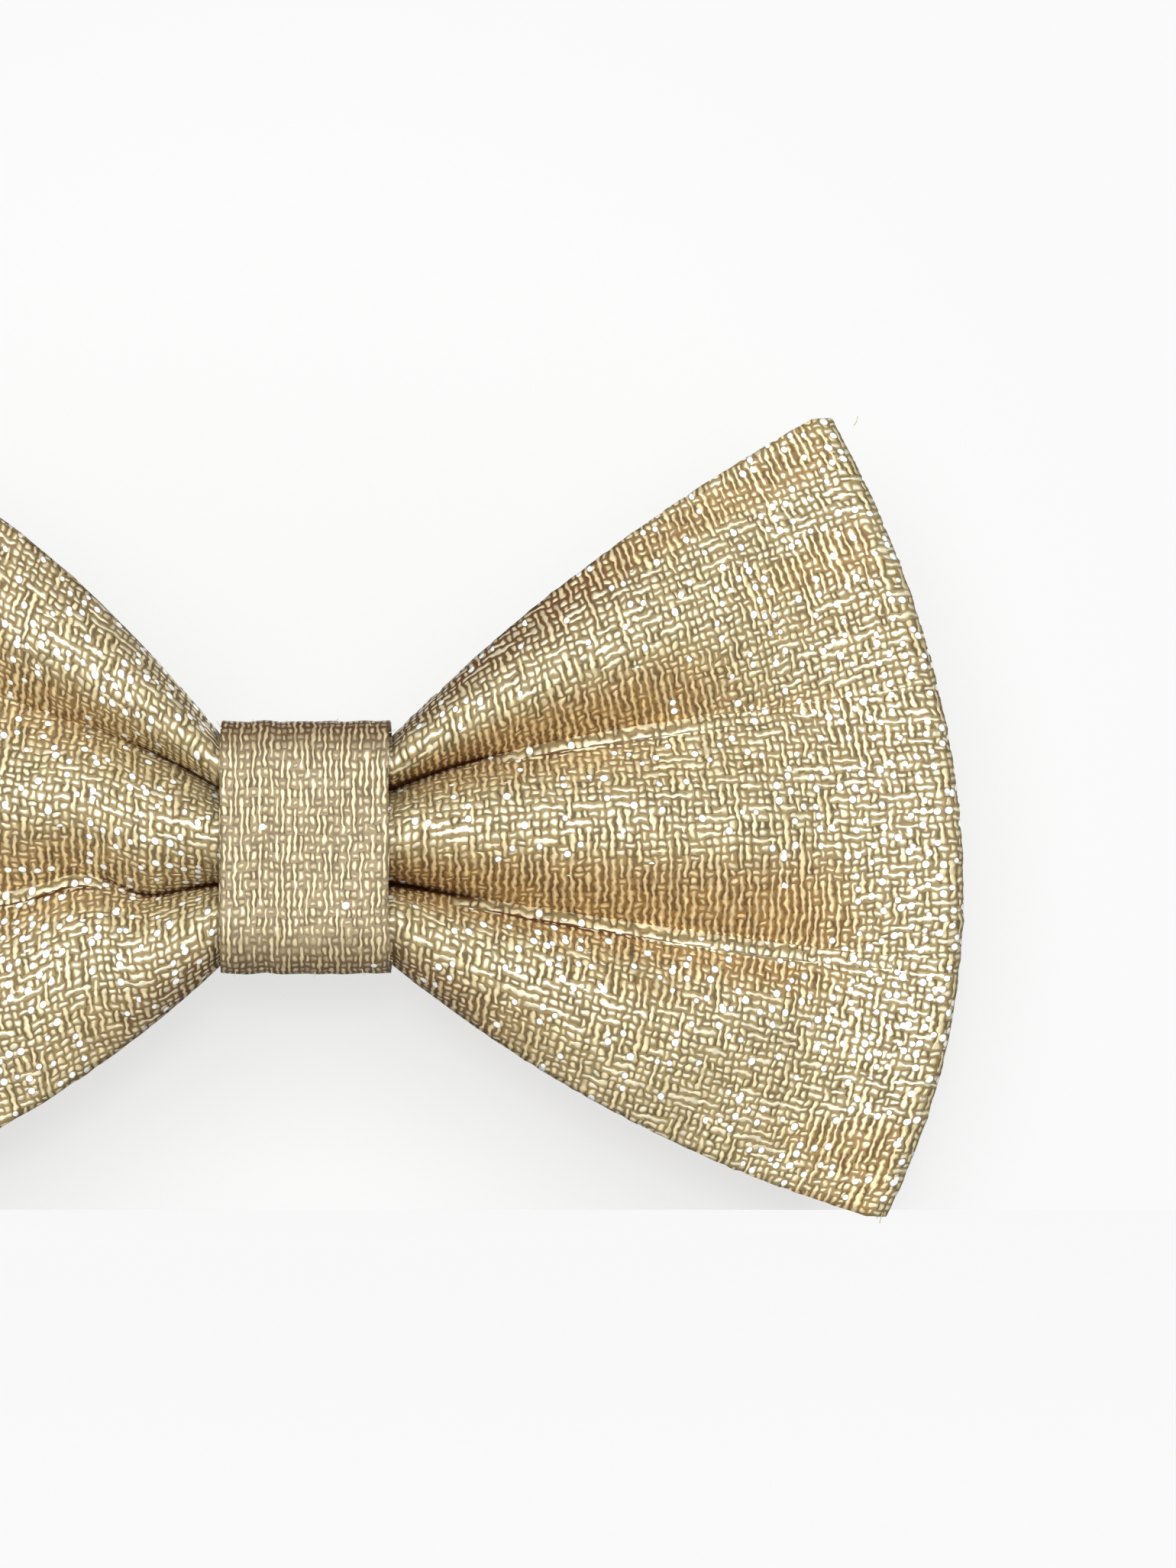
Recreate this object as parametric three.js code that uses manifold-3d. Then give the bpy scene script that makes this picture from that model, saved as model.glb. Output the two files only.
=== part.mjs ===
// A hair bow on a sprung alligator clip: one folded strip of stiff metallic cloth, gathered at the waist by a
// thread, held in a centre band that also holds the fixed leg of the clip.
// Millimetres. +X runs along the bow, +Z is up as the bow is worn, -Y is the face that people see.
// The origin is the middle of the gap that the hair goes through, between the band's back and the moving leg.
import * as THREE from 'three';
import { mergeVertices } from 'three/addons/utils/BufferGeometryUtils.js';
import Module from 'manifold-3d';

const wasm = await Module();
wasm.setup();

// ---- driving dimensions ----
const GAP = 0.3; // air kept between neighbouring pieces

const CLOTH = 0.8; // the folded strip: two plies of cloth with interfacing between them
const WAIST = { halfX: 6.6, centreZ: -0.4, halfZ: 8.3, centreY: -10.5 };
const PINCH = { scale: 0.86, innerX: 2.5, outerX: 5.5 }; // where the gathering thread bites
const FOLD = { radius: 1.5, y: -8.5, sag: 0.9 }; // the turn at each outer end
// Each wing: its reach, its corners, how fast its outer end bends away above and below, and how soon it
// spreads.
// Its two valleys run from the waist to the fold, at these shares of the half height.
const RIGHT = { side: 1, reach: 50, peakZ: -4, topZ: 32.4, bottomZ: -28.2, bendUp: 0.0075, bendDown: 0.0099,
  spreadUp: 0.28, spreadDown: 0.45, upperValley: [0.55, 0.33], lowerValley: [-0.31, -0.38] };
const LEFT = { side: -1, reach: 50, peakZ: -3, topZ: 33.2, bottomZ: -28.2, bendUp: 0.0070, bendDown: 0.0095,
  spreadUp: 0.62, spreadDown: 0.72, upperValley: [0.55, 0.53], lowerValley: [-0.31, -0.2] };
const DEPTH = { // distance forward of the origin plane at the waist, at the fullest place and at the fold
  crest: [14.6, 15.9, 10.0], valley: [8.8, 11.8, 9.6], back: [6.1, 5.9, 7.0], backEdge: [7.2, 8.4, 7.4],
};
const FULLEST = 0.35; // how far along a wing it is fullest
const STRIP_OVERLAP = { halfX: 4, inner: 1.3 }; // the strip's two ends cross at the back of the waist

const INTERFACING = { thickness: 0.5, from: 0.2, to: 0.95, edge: 0.9 };
const THREAD = { diameter: 0.5, pitch: 0.62, turns: 4, halfY: 4.5, halfZ: 8.1, corner: 2.2, centreY: -10.45 };
const BAND = { width: 13.1, thickness: 0.7, frontY: -16.05, topZ: 9.15, bottomZ: -9.45, corner: 3.4,
  shoulderY: -6.2, backHalfZ: 5.4, innerBackY: -2.4, outerBackY: -1.0, tab: 3.4 };

const SHEET = 0.8; // clip steel
const CLIP = { tailX: -28, tipX: 22, fixedY: -3.2, tailHalf: 5, jawHalf: 3.2, jawFromX: 8, tailToX: -9 };
const PIVOT = { x: -15, y: -0.2, pin: 0.8, hole: 0.87, head: 1.4, headThickness: 0.5 };
const EAR = { thickness: 0.7, radius: 1.85 };
const FIXED_EAR = { z: 4.55, foot: [[-18, -3.2], [-12, -3.2]] };
const MOVING_EAR = { z: 3.5, foot: [[-18, 4.7], [-12, 2.2]] };
// The moving leg's inner face, from its tail to its tip.
const MOVING_LINE = [[-28, 10.4], [-15.8, 2.95], [-14.4, 2.55], [-8.6, 0.5], [8, 0.5], [22, -2.2]];
const TEETH = { fromX: 9, pitch: 1.4, count: 7, rootY: -1.7, tipY: -2.5, thickness: 0.6, top: [0.7, -1.2] };
const SPRING = {
  wire: 0.7, radius: 1.5, turns: 4, pitch: 0.82, leave: 0.82,
  armX: -24.5, fixedArmY: -2.3, movingArmY: 7.55,
};
const LINING = { thickness: 0.4, y: -4.1, halfX: 24, halfZ: 5, middleX: -2.5, round: 0.8 };
// Finger grips on the moving tail.
const RIBS = { along: [0.35, 0.5, 0.65], width: 0.7, height: 0.35, halfLength: 3.6 };
const GLUE = { halfX: 4.2, halfZ: 3.4, thickness: 0.7, y: -5.05, round: 1.4 };
const BAND_GLUE = { halfX: 5.4, halfZ: 2.6, thickness: 0.3, y: -1.35, round: 1.2 };

const CLOTH_LOOK = { color: 0xc8b78e, roughness: 0.42, metalness: 0.75 };
const STEEL_LOOK = { color: 0xc9c9cc, roughness: 0.28, metalness: 1.0 };
const SPRING_LOOK = { color: 0xb4b4b8, roughness: 0.35, metalness: 1.0 };

// ---- small helpers ----
const mix = (a, b, t) => a + (b - a) * t;
const smooth = (a, b, x) => {
  const t = Math.min(1, Math.max(0, (x - a) / (b - a)));
  return t * t * (3 - 2 * t);
};
// A value that runs from the waist, through the fullest place, to the fold.
const along = ([waist, full, fold], r) =>
  r < FULLEST ? mix(waist, full, smooth(0, FULLEST, r)) : mix(full, fold, smooth(FULLEST, 1, r));

function solidOf(geometry) {
  const bare = geometry.clone();
  bare.deleteAttribute('normal');
  bare.deleteAttribute('uv');
  const merged = mergeVertices(bare, 1e-4);
  const vertProperties = merged.attributes.position.array;
  const triVerts = new Uint32Array(merged.index.array);
  return new wasm.Manifold(new wasm.Mesh({ numProp: 3, vertProperties, triVerts }));
}

function geometryOf(solid) {
  const mesh = solid.getMesh();
  const geometry = new THREE.BufferGeometry();
  geometry.setAttribute('position', new THREE.BufferAttribute(mesh.vertProperties, 3));
  geometry.setIndex(new THREE.BufferAttribute(mesh.triVerts, 1));
  geometry.computeVertexNormals();
  return geometry;
}

const shapeOf = (points) => new THREE.Shape(points.map(([x, y]) => new THREE.Vector2(x, y)));

// A flat outline given depth along Z, from low to high.
function plate(shape, low, high, curveSegments = 12) {
  const geometry = new THREE.ExtrudeGeometry(shape, { depth: high - low, bevelEnabled: false, curveSegments });
  return geometry.translate(0, 0, low);
}

// A line of points thickened to one side: positive is to the left of the way it runs.
function ribbonOutline(points, thickness) {
  const line = points.map(([x, y]) => new THREE.Vector2(x, y));
  const offset = line.map((p, i) => {
    const before = line[Math.max(0, i - 1)];
    const after = line[Math.min(line.length - 1, i + 1)];
    const run = after.clone().sub(before).normalize();
    return new THREE.Vector2(p.x - run.y * thickness, p.y + run.x * thickness);
  });
  return new THREE.Shape([...line, ...offset.reverse()]);
}

// A tube with round section along a curve, closed at both ends.
function wire(curve, diameter, steps, sides = 8) {
  const section = new THREE.Shape().absarc(0, 0, diameter / 2, 0, 2 * Math.PI, false);
  const options = { steps, curveSegments: sides, extrudePath: curve, bevelEnabled: false };
  return new THREE.ExtrudeGeometry(section, options);
}

class Path extends THREE.Curve {
  constructor(at) {
    super();
    this.at = at;
  }
  getPoint(t, target = new THREE.Vector3()) {
    return target.copy(this.at(t));
  }
}

// ---- the strip of cloth ----
// v runs from -1 at a wing's lower edge to 1 at its upper edge; r from 0 at the waist to 1 where the fold
// begins.
function lobes(wing, r, v) {
  const edges = [-1, mix(...wing.lowerValley, r), mix(...wing.upperValley, r), 1];
  const k = v < edges[1] ? 0 : v < edges[2] ? 1 : 2;
  return Math.sin(Math.PI * (v - edges[k]) / (edges[k + 1] - edges[k]));
}

const waistZ = (v) => WAIST.centreZ + WAIST.halfZ * v;
const foldZ = (wing, v) => mix(wing.bottomZ, wing.topZ, (v + 1) / 2);

function foldX(wing, v) {
  const rise = foldZ(wing, v) - wing.peakZ;
  return wing.reach - (rise > 0 ? wing.bendUp : wing.bendDown) * rise * rise;
}

function wingXZ(wing, r, v) {
  const spread = mix(wing.spreadDown, wing.spreadUp, (v + 1) / 2);
  const opened = (1 + spread) * r - spread * r * r;
  const x = mix(WAIST.halfX, foldX(wing, v) - FOLD.radius, r);
  return [wing.side * x, mix(waistZ(v), foldZ(wing, v), opened)];
}

const foldY = (wing, v) => FOLD.y - FOLD.sag * (lobes(wing, 1, v) - 0.5);

function frontPoint(wing, r, v) {
  const [x, z] = wingXZ(wing, r, v);
  const pleated = -mix(along(DEPTH.valley, r), along(DEPTH.crest, r), lobes(wing, r, v));
  return new THREE.Vector3(x, mix(pleated, foldY(wing, v) - FOLD.radius, smooth(0.7, 1, r)), z);
}

function backPoint(wing, r, v) {
  const [x, z] = wingXZ(wing, r, v);
  const flat = -mix(along(DEPTH.back, r), along(DEPTH.backEdge, r), v ** 6);
  return new THREE.Vector3(x, mix(flat, foldY(wing, v) + FOLD.radius, smooth(0.7, 1, r)), z);
}

function foldPoint(wing, turn, v) {
  const x = foldX(wing, v) - FOLD.radius + FOLD.radius * Math.sin(turn);
  return new THREE.Vector3(wing.side * x, foldY(wing, v) - FOLD.radius * Math.cos(turn), foldZ(wing, v));
}

// The way along the strip: stretches with a length in steps and a rule for the points on each.
const STRETCHES = [
  { steps: 4, at: (t, v) => overlapPoint(RIGHT, t, v, STRIP_OVERLAP.inner) },
  { steps: 8, at: (t, v) => backPoint(RIGHT, t, v) },
  { steps: 4, at: (t, v) => foldPoint(RIGHT, Math.PI * (1 - t), v) },
  { steps: 11, at: (t, v) => frontPoint(RIGHT, 1 - t, v) },
  { steps: 6, at: (t, v) => frontPoint(RIGHT, 0, v).setX(mix(WAIST.halfX, -WAIST.halfX, t)) },
  { steps: 11, at: (t, v) => frontPoint(LEFT, t, v) },
  { steps: 4, at: (t, v) => foldPoint(LEFT, Math.PI * t, v) },
  { steps: 8, at: (t, v) => backPoint(LEFT, 1 - t, v) },
  { steps: 4, at: (t, v) => overlapPoint(LEFT, 1 - t, v, 0) },
];
const STRIP_STEPS = STRETCHES.reduce((sum, s) => sum + s.steps, 0);

// One end of the strip, from past the middle of the waist to where its wing begins.
function overlapPoint(wing, t, v, inwards) {
  const x = mix(-STRIP_OVERLAP.halfX, WAIST.halfX, t);
  const y = backPoint(wing, 0, v).y - inwards * (1 - smooth(0.2, 1, t));
  return new THREE.Vector3(wing.side * x, y, waistZ(v));
}

function pinch(p) {
  const k = mix(PINCH.scale, 1, smooth(PINCH.innerX, PINCH.outerX, Math.abs(p.x)));
  p.y = WAIST.centreY + (p.y - WAIST.centreY) * k;
  p.z = WAIST.centreZ + (p.z - WAIST.centreZ) * k;
  return p;
}

function stripPoint(step, v) {
  let left = Math.min(Math.max(step, 0), STRIP_STEPS);
  for (const stretch of STRETCHES) {
    if (left <= stretch.steps) return pinch(stretch.at(left / stretch.steps, v));
    left -= stretch.steps;
  }
  return pinch(STRETCHES.at(-1).at(1, v));
}

// A sheet of even thickness whose middle surface is middle(a, b): a box with many facets, bent to it.
function bentSheet(middle, [a0, a1, aSteps], [b0, b1, bSteps], thickness) {
  const geometry = new THREE.BoxGeometry(a1 - a0, b1 - b0, 1, aSteps, bSteps, 1);
  const position = geometry.getAttribute('position');
  const nudge = 1e-3;
  for (let i = 0; i < position.count; i++) {
    const a = position.getX(i) + (a0 + a1) / 2;
    const b = position.getY(i) + (b0 + b1) / 2;
    const alongA = middle(a + nudge, b).sub(middle(a - nudge, b));
    const alongB = middle(a, Math.min(b + nudge, 1)).sub(middle(a, Math.max(b - nudge, -1)));
    const normal = alongA.cross(alongB).normalize();
    const p = middle(a, b).addScaledVector(normal, thickness * position.getZ(i));
    position.setXYZ(i, p.x, p.y, p.z);
  }
  return geometry;
}

const bowStrip = () => bentSheet(stripPoint, [0, STRIP_STEPS, STRIP_STEPS], [-1, 1, 22], CLOTH);

// A layer of interfacing that lies loose inside a wing, midway between its front and back leaves.
function interfacing(wing) {
  const { from, to, edge, thickness } = INTERFACING;
  const between = (r, v) => frontPoint(wing, r, v).lerp(backPoint(wing, r, v), 0.5);
  return bentSheet(between, [from, to, 8], [-edge, edge, 14], thickness);
}

// ---- what holds the waist ----
// A point on a rounded rectangle in the YZ plane, t from 0 to 1 round it.
function roundedLoop(t, halfY, halfZ, corner) {
  const straightY = halfY - corner;
  const straightZ = halfZ - corner;
  const loop = new THREE.Path();
  loop.absarc(straightY, straightZ, corner, 0, Math.PI / 2, false);
  loop.absarc(-straightY, straightZ, corner, Math.PI / 2, Math.PI, false);
  loop.absarc(-straightY, -straightZ, corner, Math.PI, 1.5 * Math.PI, false);
  loop.absarc(straightY, -straightZ, corner, 1.5 * Math.PI, 2 * Math.PI, false);
  loop.closePath();
  return loop.getPointAt(t % 1);
}

function gatheringThread() {
  const curve = new Path((t) => {
    const p = roundedLoop(t * THREAD.turns, THREAD.halfY, THREAD.halfZ, THREAD.corner);
    const x = THREAD.pitch * THREAD.turns * (t - 0.5);
    return new THREE.Vector3(x, THREAD.centreY + p.x, WAIST.centreZ + p.y);
  });
  return wire(curve, THREAD.diameter, 30 * THREAD.turns, 6);
}

// The band's own line in the YZ plane, from its inner end at the back, round the waist, to its outer end.
function bandLine() {
  const { frontY, topZ, bottomZ, corner, shoulderY, backHalfZ, innerBackY, outerBackY, tab } = BAND;
  const line = new THREE.Path();
  line.moveTo(innerBackY, tab);
  line.lineTo(innerBackY, -backHalfZ + 1);
  line.quadraticCurveTo(innerBackY, -backHalfZ, innerBackY - 1, -backHalfZ - 0.8);
  line.lineTo(shoulderY + 1, bottomZ + 1);
  line.quadraticCurveTo(shoulderY, bottomZ, shoulderY - 1.6, bottomZ);
  line.lineTo(frontY + corner, bottomZ);
  line.absarc(frontY + corner, bottomZ + corner, corner, 1.5 * Math.PI, Math.PI, true);
  line.lineTo(frontY, topZ - corner);
  line.absarc(frontY + corner, topZ - corner, corner, Math.PI, 0.5 * Math.PI, true);
  line.lineTo(shoulderY - 1.6, topZ);
  line.quadraticCurveTo(shoulderY, topZ, shoulderY + 1, topZ - 1);
  line.lineTo(outerBackY - 1, backHalfZ + 0.8);
  line.quadraticCurveTo(outerBackY, backHalfZ, outerBackY, backHalfZ - 1);
  line.lineTo(outerBackY, -tab);
  return line.getPoints(5).map((p) => [p.x, p.y]);
}

// Turns a shape drawn in (y, z) and extruded along its own Z so that it runs along X.
const drawnInYZ = new THREE.Matrix4().makeBasis(
  new THREE.Vector3(0, 1, 0), new THREE.Vector3(0, 0, 1), new THREE.Vector3(1, 0, 0),
);

function centreBand() {
  const shape = ribbonOutline(bandLine(), BAND.thickness);
  return plate(shape, -BAND.width / 2, BAND.width / 2).applyMatrix4(drawnInYZ);
}

// A flat pad in the XZ plane with round corners.
function pad({ halfX, halfZ, thickness, y, round }) {
  const shape = new THREE.Shape();
  shape.absarc(halfX - round, halfZ - round, round, 0, Math.PI / 2, false);
  shape.absarc(round - halfX, halfZ - round, round, Math.PI / 2, Math.PI, false);
  shape.absarc(round - halfX, round - halfZ, round, Math.PI, 1.5 * Math.PI, false);
  shape.absarc(halfX - round, round - halfZ, round, 1.5 * Math.PI, 2 * Math.PI, false);
  return plate(shape, -thickness / 2, thickness / 2, 5).rotateX(Math.PI / 2).translate(0, y, 0);
}

// ---- the clip ----
// A leg seen from behind: a broad round tail, a taper, and a narrow jaw with a round tip.
function legPlan(tailX, tipX) {
  const { tailHalf, jawHalf, jawFromX, tailToX } = CLIP;
  const shape = new THREE.Shape();
  shape.absarc(tailX + tailHalf, 0, tailHalf, 0.5 * Math.PI, 1.5 * Math.PI, false);
  shape.lineTo(tailToX, -tailHalf);
  shape.lineTo(jawFromX, -jawHalf);
  shape.absarc(tipX - jawHalf, 0, jawHalf, -0.5 * Math.PI, 0.5 * Math.PI, false);
  shape.lineTo(jawFromX, jawHalf);
  shape.lineTo(tailToX, tailHalf);
  return shape;
}

// A bent plate cut to the leg's plan: the side line gives its bends, the plan gives its outline.
function bentLeg(sideLine, thickness) {
  const slab = solidOf(plate(ribbonOutline(sideLine, thickness), -2 * CLIP.tailHalf, 2 * CLIP.tailHalf));
  const outline = plate(legPlan(CLIP.tailX, CLIP.tipX), -20, 20, 10).rotateX(Math.PI / 2);
  return slab.intersect(solidOf(outline));
}

// An ear round the pivot, at height z, growing from a foot that lies inside a leg's plate.
function ear(z, foot) {
  const away = Math.sign(foot[0][1] - PIVOT.y);
  const shape = shapeOf(foot);
  shape.lineTo(PIVOT.x + EAR.radius, PIVOT.y + 0.4 * away);
  shape.absarc(PIVOT.x, PIVOT.y, EAR.radius, 0, Math.PI, away > 0);
  shape.lineTo(PIVOT.x - EAR.radius, PIVOT.y + 0.4 * away);
  return solidOf(plate(shape, z - EAR.thickness / 2, z + EAR.thickness / 2, 10));
}

const pivotHole = () => {
  const round = new THREE.Shape().absarc(PIVOT.x, PIVOT.y, PIVOT.hole, 0, 2 * Math.PI, false);
  return solidOf(plate(round, -20, 20, 20));
};

function withEars(leg, { z, foot }) {
  return leg.add(ear(z, foot)).add(ear(-z, foot)).subtract(pivotHole());
}

function fixedLeg() {
  const { tailX, tipX, fixedY } = CLIP;
  const line = [[tailX, fixedY - SHEET / 2], [tipX, fixedY - SHEET / 2]];
  return geometryOf(withEars(bentLeg(line, SHEET), FIXED_EAR));
}

// A saw-edged flange under one side of the moving jaw.
function toothRow(z) {
  const { fromX, pitch, count, rootY, tipY, thickness, top } = TEETH;
  const points = [[fromX, top[0]], [fromX, rootY]];
  for (let i = 0; i < count; i++) {
    points.push([fromX + (i + 0.5) * pitch, tipY], [fromX + (i + 1) * pitch, rootY]);
  }
  points.push([fromX + count * pitch, top[1]]);
  return solidOf(plate(shapeOf(points), z - thickness / 2, z + thickness / 2));
}

// Low round-backed ribs across the outside of the moving leg's tail.
function gripRibs() {
  const [end, bend] = MOVING_LINE;
  const slope = Math.atan2(bend[1] - end[1], bend[0] - end[0]);
  const ribs = RIBS.along.map((share) => {
    const round = new THREE.Shape().absellipse(0, 0, RIBS.width / 2, RIBS.height, 0, 2 * Math.PI, false);
    const rib = plate(round, -RIBS.halfLength, RIBS.halfLength, 6).translate(0, SHEET, 0).rotateZ(slope);
    return solidOf(rib.translate(mix(end[0], bend[0], share), mix(end[1], bend[1], share), 0));
  });
  return ribs.reduce((all, rib) => all.add(rib));
}

function movingLeg() {
  const inset = CLIP.jawHalf - TEETH.thickness / 2;
  const bare = bentLeg([...MOVING_LINE].reverse(), -SHEET);
  const eared = withEars(bare, MOVING_EAR);
  return geometryOf(eared.add(toothRow(inset)).add(toothRow(-inset)).add(gripRibs()));
}

function pivotPin() {
  const { pin, head, headThickness } = PIVOT;
  const earFace = FIXED_EAR.z + EAR.thickness / 2 + GAP;
  const end = earFace + headThickness;
  const half = [[head, end - 0.15], [head - 0.15, end], [0, end]];
  const profile = [[0, -end], [head - 0.15, -end], [head, 0.15 - end], [head, -earFace], [pin, -earFace],
    [pin, earFace], [head, earFace], ...half];
  const geometry = new THREE.LatheGeometry(profile.map(([x, y]) => new THREE.Vector2(x, y)), 20);
  return geometry.rotateX(Math.PI / 2).translate(PIVOT.x, PIVOT.y, 0);
}

// The middle line of the torsion spring: an arm on the fixed leg, a coil round the pin, and an arm on the
// moving tail.
function springLine() {
  const { radius, turns, pitch, leave, armX, fixedArmY, movingArmY } = SPRING;
  const halfLength = turns * pitch / 2;
  const steps = 14 * turns + 6;
  const line = [new THREE.Vector3(armX, fixedArmY, -halfLength)];
  for (let i = 0; i <= steps; i++) {
    const t = i / steps;
    const angle = Math.PI * mix(-0.5, 2 * turns - 0.5 + leave, t);
    const across = new THREE.Vector3(Math.cos(angle), Math.sin(angle), 0).multiplyScalar(radius);
    line.push(across.add(new THREE.Vector3(PIVOT.x, PIVOT.y, mix(-halfLength, halfLength, t))));
  }
  line.push(new THREE.Vector3(armX, movingArmY, halfLength));
  return line;
}

// One of the spring's two stretches; the last turn goes with the moving leg.
function springStretch(from, to) {
  const curve = new THREE.CatmullRomCurve3(springLine().slice(from, to), false, 'centripetal');
  return wire(curve, SPRING.wire, Math.round(curve.getLength() / 0.8), 6);
}

const clipLining = () => pad(LINING).translate(LINING.middleX, 0, 0);

// ---- assembly ----
const bow = new THREE.Group();
const clip = new THREE.Group();
bow.add(clip);

function place(group, name, geometry, look) {
  const mesh = new THREE.Mesh(geometry, new THREE.MeshStandardMaterial(look));
  mesh.name = name;
  group.add(mesh);
}

place(bow, 'bow_strip', bowStrip(), CLOTH_LOOK);
place(bow, 'interfacing_right', interfacing(RIGHT), { color: 0xf1efe8, roughness: 0.95, metalness: 0 });
place(bow, 'interfacing_left', interfacing(LEFT), { color: 0xf1efe8, roughness: 0.95, metalness: 0 });
place(bow, 'gathering_thread', gatheringThread(), { color: 0xd8c69a, roughness: 0.7, metalness: 0 });
place(bow, 'centre_band', centreBand(), CLOTH_LOOK);
place(bow, 'waist_glue', pad(GLUE), { color: 0xe9e4d2, roughness: 0.4, metalness: 0 });
place(bow, 'band_glue', pad(BAND_GLUE), { color: 0xe9e4d2, roughness: 0.4, metalness: 0 });
place(clip, 'clip_lining', clipLining(), { color: 0xcdb98a, roughness: 0.8, metalness: 0 });
place(clip, 'clip_fixed_leg', fixedLeg(), STEEL_LOOK);
place(clip, 'clip_moving_leg', movingLeg(), STEEL_LOOK);
place(clip, 'clip_pin', pivotPin(), STEEL_LOOK);
place(clip, 'spring_coil', springStretch(0, -16), SPRING_LOOK);
place(clip, 'spring_moving_end', springStretch(-15), SPRING_LOOK);

export default bow;
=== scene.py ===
import math

import bmesh
import bpy
from mathutils import Matrix, Vector, noise


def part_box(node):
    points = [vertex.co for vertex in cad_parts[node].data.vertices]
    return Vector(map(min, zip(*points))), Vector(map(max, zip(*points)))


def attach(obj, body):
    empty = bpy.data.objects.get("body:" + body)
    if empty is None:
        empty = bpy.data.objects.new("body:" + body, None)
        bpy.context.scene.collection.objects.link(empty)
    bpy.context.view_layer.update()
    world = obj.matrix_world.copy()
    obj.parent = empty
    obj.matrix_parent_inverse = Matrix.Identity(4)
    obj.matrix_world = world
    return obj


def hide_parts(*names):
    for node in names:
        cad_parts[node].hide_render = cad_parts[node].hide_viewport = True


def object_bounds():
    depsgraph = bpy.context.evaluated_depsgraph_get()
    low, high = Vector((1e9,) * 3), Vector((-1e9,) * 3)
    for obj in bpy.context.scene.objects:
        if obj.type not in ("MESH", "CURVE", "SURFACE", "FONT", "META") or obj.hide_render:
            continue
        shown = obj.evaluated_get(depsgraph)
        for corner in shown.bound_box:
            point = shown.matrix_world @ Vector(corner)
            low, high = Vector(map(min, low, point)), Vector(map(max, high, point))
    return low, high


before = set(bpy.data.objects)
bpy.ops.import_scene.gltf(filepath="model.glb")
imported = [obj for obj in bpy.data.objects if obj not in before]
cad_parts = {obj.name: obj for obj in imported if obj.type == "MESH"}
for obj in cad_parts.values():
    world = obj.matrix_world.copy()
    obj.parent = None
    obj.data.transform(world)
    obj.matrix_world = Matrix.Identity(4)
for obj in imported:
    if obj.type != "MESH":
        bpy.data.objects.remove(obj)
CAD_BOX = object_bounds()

noise.seed_set(1)  # so that noise_vector gives the same fibres in every run
MM = 0.001
BODY = "bow"

# ---- the bow's own measures, in millimetres ----
CLOTH = 0.8  # both plies together
WAIST = {"half_x": 6.6, "centre_z": -0.4, "half_z": 8.3, "centre_y": -10.5}
# The thread draws the waist in by this scale up to inner_x, and lets it go at outer_x.
PINCH = {"scale": 0.86, "inner_x": 2.5, "outer_x": 5.5}
FOLD = {"radius": 1.3, "y": -8.5, "sag": 0.9}
FULLEST = 0.35  # the place along a wing where its lobes stand out most
# How far out of the body the cloth lies: at the waist, at its fullest, and at the outer fold.
DEPTH = {
    "crest": (14.8, 16.0, 10.0), "valley": (8.0, 11.5, 9.5),
    "back": (6.1, 5.9, 7.0), "edge": (7.2, 8.4, 7.4),
}
# Each wing's outline, in millimetres. Then its lower and upper valley, where a place across is a share of the
# half height and a place along runs from 0 at the waist to 1 at the fold:
# - lower, upper: where the valley lies at the waist and at the fold
# - sway: the valley's bends, each with its place along, width and size
# - pressed: where its pressed edge starts to rise, is full, starts to fade, and is gone
# - slit: where the painted shadow line by the band ends, and slit_reach its half width in millimetres at both
#   ends
# Last, how strong the painted brown shade on the flanks is near the waist and further out, and the shares of
# other marks: painted shade in the hollow and on the top edge, and flakes.
RIGHT = {
    "side": 1, "reach": 50.0, "peak_z": -4.0, "top_z": 32.6, "bottom_z": -28.3,
    "bend_up": 0.0075, "bend_down": 0.0099, "spread_up": 0.28, "spread_down": 0.45, "seed": 3.0,
    "lower": (-0.31, -0.357), "upper": (0.58, 0.33), "sway": ((), ()),
    "pressed": ((0.1, 0.25, 0.7, 0.92), (0.2, 0.32, 0.5, 0.7)),
    "slit": (0.2, 0.27), "slit_reach": (0.85, 0.58),
    "shade": (1.0, 1.0), "hollow": 0.4, "painted_edge_shade": 0.38, "sparkle": 0.2,
}
LEFT = {
    "side": -1, "reach": 50.0, "peak_z": -3.0, "top_z": 33.2, "bottom_z": -28.3,
    "bend_up": 0.0070, "bend_down": 0.0095, "spread_up": 0.62, "spread_down": 0.72, "seed": 8.0,
    "lower": (-0.31, -0.20), "upper": (0.58, 0.53),
    "sway": (((0.13, 0.055, -0.04), (0.25, 0.085, 0.085)), ((0.35, 0.22, -0.07),)),
    "pressed": ((0.2, 0.26, 0.4, 0.55), (0.5, 0.6, 0.7, 0.8)),
    "slit": (0.27, 0.24), "slit_reach": (0.72, 0.56),
    "shade": (0.3, 0.65), "hollow": 0.1, "painted_edge_shade": 0.12, "sparkle": 0.4,
}
OVERLAP = {"half_x": 4.0, "inner": 1.3}  # of the strip's two ends behind the waist
LOBES = 3
LOBE_STEPS = 32  # columns of the sheet across a lobe
# The pressed edge at the bottom of each valley: its size, the columns it takes, the line of the flat cloth
# that it shows and how much of it, and how dark the painted shadow line under it is in the lower and the
# upper valley.
WELT = {
    "width": 1.15, "height": 0.25, "steps": 5,
    "line": 59.0, "threads": 1.18, "shadow": (0.75, 0.45),
}
BAND = {
    "width": 13.1, "thickness": 0.7, "front_y": -16.4, "top_z": 9.15, "bottom_z": -9.4, "corner": 3.4,
    "shoulder_y": -6.2, "back_half_z": 5.75, "inner_y": -2.05, "outer_y": -0.65, "tab": 3.4,
    "points": 110, "columns": 26,
}
# The stiffening in each wing, and the clip's ribbon. Shares are of the wing's length and of its half height.
STIFFENING = {"from": 0.2, "to": 0.95, "half": 0.9, "thickness": 0.5, "rows": 28, "columns": 60}
LINING = {"thickness": 0.4, "rows": 59, "columns": 16}


def mix(a, b, t):
    return a + (b - a) * t


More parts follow.
